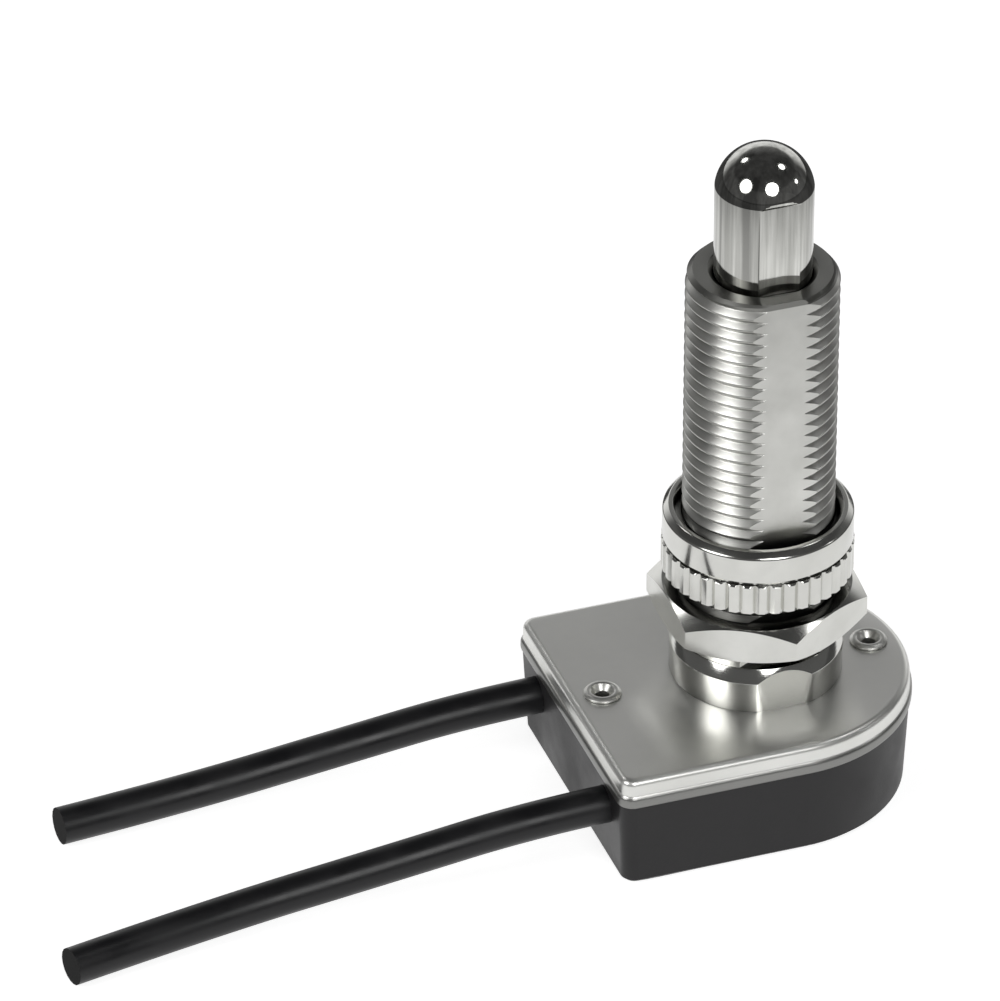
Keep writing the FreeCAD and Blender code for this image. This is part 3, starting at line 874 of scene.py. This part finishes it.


# %% [markdown]
# ## Nickel off the lathe
# The bushing, both nuts and the eyelets are turned, plated with nickel and hardly polished. Fine
# tool rings go into the bump and fingermarks into the gloss, since plain chrome would look new. The
# thread is duller than its collar. Painted shade darkens the top of the bushing, where the metal
# mirrors the dark room, and every groove, where shade falls.

# %% Bright nickel, turned
nickel_clean = (0.70, 0.70, 0.67)
nickel_touched = (0.61, 0.61, 0.58)
# Painted shade: the top of the bushing gets a dark colour, standing in for the dark room its rim
# mirrors.
nickel_rim_shade = (0.27, 0.27, 0.255)
# Painted shade: the dark colour that the occlusion mask puts into grooves and corners.
nickel_painted_shade = (0.05, 0.05, 0.045)
rim_shade_foot = bushing_top - 0.9 * rim_chamfer


def turned_nickel(name, rings, roughness, reach, threaded=False):
    """Plated metal straight off the lathe: fine rings in the bump, handling in the gloss."""
    material, tree, shader = new_material(name, (0.64, 0.64, 0.61), 1.0, roughness[0])
    rings_node = group_node(tree, tool_rings, Rings_per_metre=11000.0)
    smudge_node = group_node(tree, smudges, Size=260.0)
    gloss = spread_between(tree, smudge_node.outputs["Mask"], *roughness)
    handled = blend_colours(tree, smudge_node.outputs["Mask"], nickel_clean, nickel_touched)
    if threaded:
        height, _, _ = place_parts(tree)
        duller = math_node(tree, "GREATER_THAN", height, collar_top * mm)
        gloss = math_node(tree, "MULTIPLY", gloss, spread_between(tree, duller, 0.3, 1.0))
        # Painted shade at the top of the bushing.
        rim_shade_band = math_node(tree, "GREATER_THAN", height, rim_shade_foot * mm)
        handled = blend_colours(tree, rim_shade_band, handled, nickel_rim_shade)
    tree.links.new(gloss, shader.inputs["Roughness"])
    # Painted shade in corners and grooves, from ambient occlusion.
    painted_shade_node = group_node(tree, painted_shade, Reach=reach * mm)
    with_painted_shade = blend_colours(tree, painted_shade_node.outputs["Mask"], handled, nickel_painted_shade)
    tree.links.new(with_painted_shade, shader.inputs["Base Color"])
    add_bump(tree, shader, rings_node.outputs["Height"], rings, 0.004)
    return material


nickel_turned = turned_nickel("bright nickel, turned", 0.25, (0.10, 0.22), 2.0)
nickel_threaded = turned_nickel("bright nickel, threaded", 0.35, (0.28, 0.40), 3.5, True)
nickel_dulled = turned_nickel("bright nickel, dulled", 0.20, (0.34, 0.44), 0.5)
print("turned nickel: plain, threaded and dulled")

# %% [markdown]
# ## Nickel rubbed by the mouth
# The button slides in its mouth at every press, so its shank is rubbed lengthwise. Fine light
# streaks and a few broad dark ones run along it. The broad ones stop at the milled flat, which
# doesn't touch the round of the hole.

# %% Bright nickel, rubbed lengthwise
material, tree, shader = new_material("bright nickel, rubbed", (0.62, 0.62, 0.59), 1.0, 0.10)
fine_node = group_node(tree, streaks, Across=2600.0, Along=90.0)
broad_node = group_node(tree, streaks, Across=800.0, Along=25.0)
smudge_node = group_node(tree, smudges, Size=300.0)
gloss = spread_between(tree, smudge_node.outputs["Mask"], 0.06, 0.14)
tree.links.new(gloss, shader.inputs["Roughness"])
rubbed = blend_colours(tree, fine_node.outputs["Mask"], (0.48, 0.48, 0.455), (0.68, 0.68, 0.65))
split = tree.nodes.new("ShaderNodeSeparateXYZ")
tree.links.new(tree.nodes.new("ShaderNodeTexCoord").outputs["Object"], split.inputs[0])
off_flat = math_node(tree, "GREATER_THAN", split.outputs[1], (0.01 - shank_flat) * mm)
few = math_node(tree, "POWER", broad_node.outputs["Mask"], 3.0)
few = math_node(tree, "MULTIPLY", few, off_flat)
tree.links.new(blend_colours(tree, few, rubbed, (0.30, 0.30, 0.285)), shader.inputs["Base Color"])
add_bump(tree, shader, fine_node.outputs["Height"], 0.20, 0.004)
nickel_rubbed = material
print(material.name, "has", len(tree.nodes), "nodes")

# %% [markdown]
# ## Drawn sheet
# The plate is plated before it is drawn and has a satin face, a little mottled where it was
# touched. The hem under the fold is painted darker, as painted shade for the dark base and shadow
# that it mirrors.

# %% Satin sheet steel
material, tree, shader = new_material("satin plated sheet", (0.66, 0.66, 0.63), 0.90, 0.30)
smudge_node = group_node(tree, smudges, Size=160.0)
gloss = spread_between(tree, smudge_node.outputs["Mask"], 0.30, 0.38)
tree.links.new(gloss, shader.inputs["Roughness"])
handled = blend_colours(tree, smudge_node.outputs["Mask"], (0.84, 0.84, 0.81), (0.77, 0.77, 0.74))
height, _, _ = place_parts(tree)
# Painted shade: the hem band gets a dark colour for the dark base and shadow it mirrors.
hem = ranged(tree, height, (hem_top + 0.02) * mm, (hem_top - 0.10) * mm, smooth=True)
sheet_colour = blend_colours(tree, hem, handled, (0.27, 0.27, 0.26))
tree.links.new(sheet_colour, shader.inputs["Base Color"])
add_bump(tree, shader, smudge_node.outputs["Grain"], 0.15, 0.006)
satin_sheet = material
print(material.name, "has", len(tree.nodes), "nodes")

# %% [markdown]
# ## Black plastic
# The base is pressed from a phenolic powder: black, half dull, with a fine grain. The leads wear a
# softer and smoother jacket. Black hides its colour, so the highlight has to tell them apart. The
# cut ends of the leads are dead black and rough, as a knife leaves them.

# %% Moulded black plastic and the lead jacket
material, tree, shader = new_material("moulded black", (0.018, 0.0175, 0.0185), 0.0, 0.42, 0.38)
smudge_node = group_node(tree, smudges, Size=220.0)
gloss = spread_between(tree, smudge_node.outputs["Mask"], 0.34, 0.52)
tree.links.new(gloss, shader.inputs["Roughness"])
moulded = blend_colours(tree, smudge_node.outputs["Mask"],
                        (0.013, 0.0125, 0.0135), (0.022, 0.021, 0.022))
tree.links.new(moulded, shader.inputs["Base Color"])
add_bump(tree, shader, smudge_node.outputs["Grain"], 0.35, 0.02)
moulded_black = material

material, tree, shader = new_material("lead jacket", (0.008, 0.008, 0.009), 0.0, 0.36, 0.40)
smudge_node = group_node(tree, smudges, Size=320.0)
facing = tree.nodes.new("ShaderNodeSeparateXYZ")
tree.links.new(tree.nodes.new("ShaderNodeTexCoord").outputs["Normal"], facing.inputs[0])
cut_face = math_node(tree, "GREATER_THAN", math_node(tree, "ABSOLUTE", facing.outputs[0]), 0.85)
gloss = spread_between(tree, smudge_node.outputs["Mask"], 0.30, 0.46)
tree.links.new(math_node(tree, "MAXIMUM", gloss, math_node(tree, "MULTIPLY", cut_face, 0.9)),
               shader.inputs["Roughness"])
jacket = blend_colours(tree, smudge_node.outputs["Mask"],
                       (0.006, 0.006, 0.007), (0.012, 0.012, 0.013))
jacket = blend_colours(tree, cut_face, jacket, (0.002, 0.002, 0.002))
tree.links.new(jacket, shader.inputs["Base Color"])
add_bump(tree, shader, smudge_node.outputs["Grain"], 0.2, 0.012)
lead_jacket = material
print("black plastics:", moulded_black.name, "and", lead_jacket.name)

# %% [markdown]
# ## What the housing hides
# Fibre, zinc plate, spring wire, nylon, brass and copper are seen only when the switch is opened.
# One plain recipe serves them all, with two shades, a gloss and a grain for each.


# %% Finishes inside
def inside_finish(name, low, high, metallic, roughness, bump):
    """Plainer finish for what the housing hides: a mottled colour, a grain and a soft gloss."""
    material, tree, shader = new_material(name, low, metallic, roughness[0])
    node = group_node(tree, smudges, Size=400.0)
    mask = node.outputs["Mask"]
    tree.links.new(spread_between(tree, mask, *roughness), shader.inputs["Roughness"])
    tree.links.new(blend_colours(tree, mask, low, high), shader.inputs["Base Color"])
    add_bump(tree, shader, node.outputs["Grain"], bump, 0.01)
    return material


inside = {
    "fibre": ("red fibre", (0.20, 0.07, 0.04), (0.28, 0.11, 0.06), 0.0, (0.55, 0.75), 0.5),
    "plated_steel": ("zinc plate", (0.62, 0.62, 0.60), (0.52, 0.53, 0.53), 1.0, (0.25, 0.4), 0.2),
    "spring_steel": ("spring wire", (0.42, 0.42, 0.42), (0.5, 0.49, 0.47), 1.0, (0.22, 0.38), 0.2),
    "moulded_nylon": ("nylon", (0.80, 0.77, 0.67), (0.74, 0.70, 0.60), 0.0, (0.35, 0.5), 0.2),
    "brass": ("pressed brass", (0.78, 0.60, 0.30), (0.66, 0.48, 0.22), 1.0, (0.2, 0.38), 0.2),
    "copper": ("bare copper", (0.78, 0.42, 0.27), (0.66, 0.32, 0.2), 1.0, (0.25, 0.4), 0.2),
}
finishes = {"phenolic": moulded_black, "satin_steel": satin_sheet,
            "bright_nickel": nickel_turned, "lead_jacket": lead_jacket}
for slot, recipe in inside.items():
    finishes[slot] = inside_finish(*recipe)
print("finishes:", sorted(finishes))

# %% [markdown]
# ## Dressing
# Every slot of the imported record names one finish. Four pieces share a slot with others and still
# look different on the real switch, so they are picked out by name.

# %% Dressing
special = {"button_domed": nickel_rubbed, "bushing_threaded": nickel_threaded,
           "end_eyelet_rolled": nickel_dulled, "nose_eyelet_rolled": nickel_dulled}
slots_of = {entry["node"]: entry["material_slot"] for entry in frame["record"]["subparts"]}
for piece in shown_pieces():
    if "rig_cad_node" in piece:
        slot = slots_of[piece["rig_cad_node"]]
    else:
        slot = piece["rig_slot"]
    finish = special.get(piece.name, finishes[slot])
    if not piece.material_slots:
        piece.data.materials.append(finish)
    for place in piece.material_slots:
        place.material = finish

# %% [markdown]
# ## The bench
# Bright metal shows its room more than itself. The switch stands on a white sheet that ends a few
# centimetres away, on a dark bench, and that edge is what puts dark bands into the metal. To the
# eye the whole bench glows white, as in the picture, and it still keeps the switch's soft shadow.

# %% Bench
bench_half = 3.0
bench_gap = 0.00005
sheet_near = 0.064
sheet_far = 0.084
bench_white = (0.60, 0.60, 0.60)
bench_dark = (0.06, 0.06, 0.06)
floor_mesh = bpy.data.meshes.new("bench")
corners = [(x * bench_half, y * bench_half, 0) for x, y in ((-1, -1), (1, -1), (1, 1), (-1, 1))]
floor_mesh.from_pydata(corners, [], [(0, 1, 2, 3)])
bench = bpy.data.objects.new("bench", floor_mesh)
bpy.context.collection.objects.link(bench)
bench.location.z = -bench_gap
material, tree, shader = new_material("white bench", bench_white, 0.0, 0.9, 0.0)
_, distance, _ = place_parts(tree)
beyond = ranged(tree, distance, sheet_near, sheet_far, smooth=True)
bench_colour = blend_colours(tree, beyond, bench_white, bench_dark)
tree.links.new(bench_colour, shader.inputs["Base Color"])
path = tree.nodes.new("ShaderNodeLightPath")
mirrored = math_node(tree, "MAXIMUM", path.outputs["Is Glossy Ray"],
                     path.outputs["Is Transmission Ray"])
in_mirrors = math_node(tree, "MULTIPLY", mirrored, spread_between(tree, beyond, 0.64, 0.04))
to_the_eye = math_node(tree, "MULTIPLY", path.outputs["Is Camera Ray"],
                       spread_between(tree, beyond, 0.80, 1.05))
glow = tree.nodes.new("ShaderNodeEmission")
tree.links.new(math_node(tree, "MAXIMUM", in_mirrors, to_the_eye), glow.inputs["Strength"])
total = tree.nodes.new("ShaderNodeAddShader")
tree.links.new(shader.outputs[0], total.inputs[0])
tree.links.new(glow.outputs[0], total.inputs[1])
tree.links.new(total.outputs[0], tree.nodes["Material Output"].inputs["Surface"])
floor_mesh.materials.append(material)
print("the white sheet ends", sheet_near, "to", sheet_far, "m from the switch's axis")

# %% [markdown]
# ## The room
# The room is dark overhead, and a light backdrop stands low behind the switch as the camera sees
# it. A sky of one colour would make the metal flat, so the light falls off upward and away from
# the back. The eye itself sees plain white there.

# %% Room
world = bpy.data.worlds.new("room")
bpy.context.scene.world = world
world.use_nodes = True
tree = world.node_tree
background = tree.nodes["Background"]
background.inputs["Color"].default_value = (1, 1, 1, 1)
direction = tree.nodes.new("ShaderNodeTexCoord").outputs["Generated"]
split = tree.nodes.new("ShaderNodeSeparateXYZ")
tree.links.new(direction, split.inputs[0])
ramp = tree.nodes.new("ShaderNodeValToRGB")
ramp.color_ramp.elements[0].position = 0.0
ramp.color_ramp.elements[0].color = (1.0, 1.0, 1.0, 1)
ramp.color_ramp.elements[1].position = 1.0
ramp.color_ramp.elements[1].color = (0.10, 0.10, 0.10, 1)
for position, value in ((0.10, 0.95), (0.41, 0.85), (0.50, 0.18), (0.60, 0.12)):
    element = ramp.color_ramp.elements.new(position)
    element.color = (value, value, value * 0.99, 1)
tree.links.new(split.outputs[2], ramp.inputs[0])
back_x = 0.33
back_y = 0.944
behind = math_node(tree, "ADD", math_node(tree, "MULTIPLY", split.outputs[0], back_x),
                   math_node(tree, "MULTIPLY", split.outputs[1], back_y))
toward_back = ranged(tree, behind, 0.50, 0.90, 0.07, 1.0, smooth=True)
shade = math_node(tree, "MULTIPLY", ramp.outputs[0], toward_back)
shade = math_node(tree, "ADD", shade, 0.045)
path = tree.nodes.new("ShaderNodeLightPath")
seen = math_node(tree, "MAXIMUM", shade, path.outputs["Is Camera Ray"])
tree.links.new(seen, background.inputs["Strength"])
print("room:", len(ramp.color_ramp.elements), "steps from the floor up")

# %% [markdown]
# ## The lamps
# Two broad round lamps near the camera give the two white spots on the dome, and three small ones
# further round give the little spots beside them. Each is a disk, because its mirror image has to
# be round. The four values are where it stands, how far off in metres, how wide, and its watts.

# %% Lamps
lamp_aim = Vector((0, 0, 0.03))
lamps = {
    "broad left": ((-0.826, -0.255, 0.502), 0.80, 0.42, 2.0),
    "broad front": ((-0.010, -0.840, 0.542), 0.80, 0.42, 2.3),
    "slim back": ((-0.359, 0.610, 0.706), 0.90, 0.16, 0.35),
    "small right": ((0.538, -0.089, 0.839), 0.90, 0.20, 0.5),
    "spot right": ((0.878, -0.331, 0.345), 0.90, 0.12, 0.15),
}
for name, (direction, away, size, watts) in lamps.items():
    lamp_data = bpy.data.lights.new(name, "AREA")
    lamp_data.shape = "DISK"
    lamp_data.size = size
    lamp_data.energy = watts
    lamp = bpy.data.objects.new(name, lamp_data)
    toward = Vector(direction).normalized()
    lamp.location = lamp_aim + toward * away
    lamp.rotation_euler = toward.to_track_quat("Z", "Y").to_euler()
    bpy.context.collection.objects.link(lamp)
print("lamps:", len(lamps))

# %% [markdown]
# ## Last update
# Last, the scene is brought up to date.

# %% Last update
bpy.context.view_layer.update()
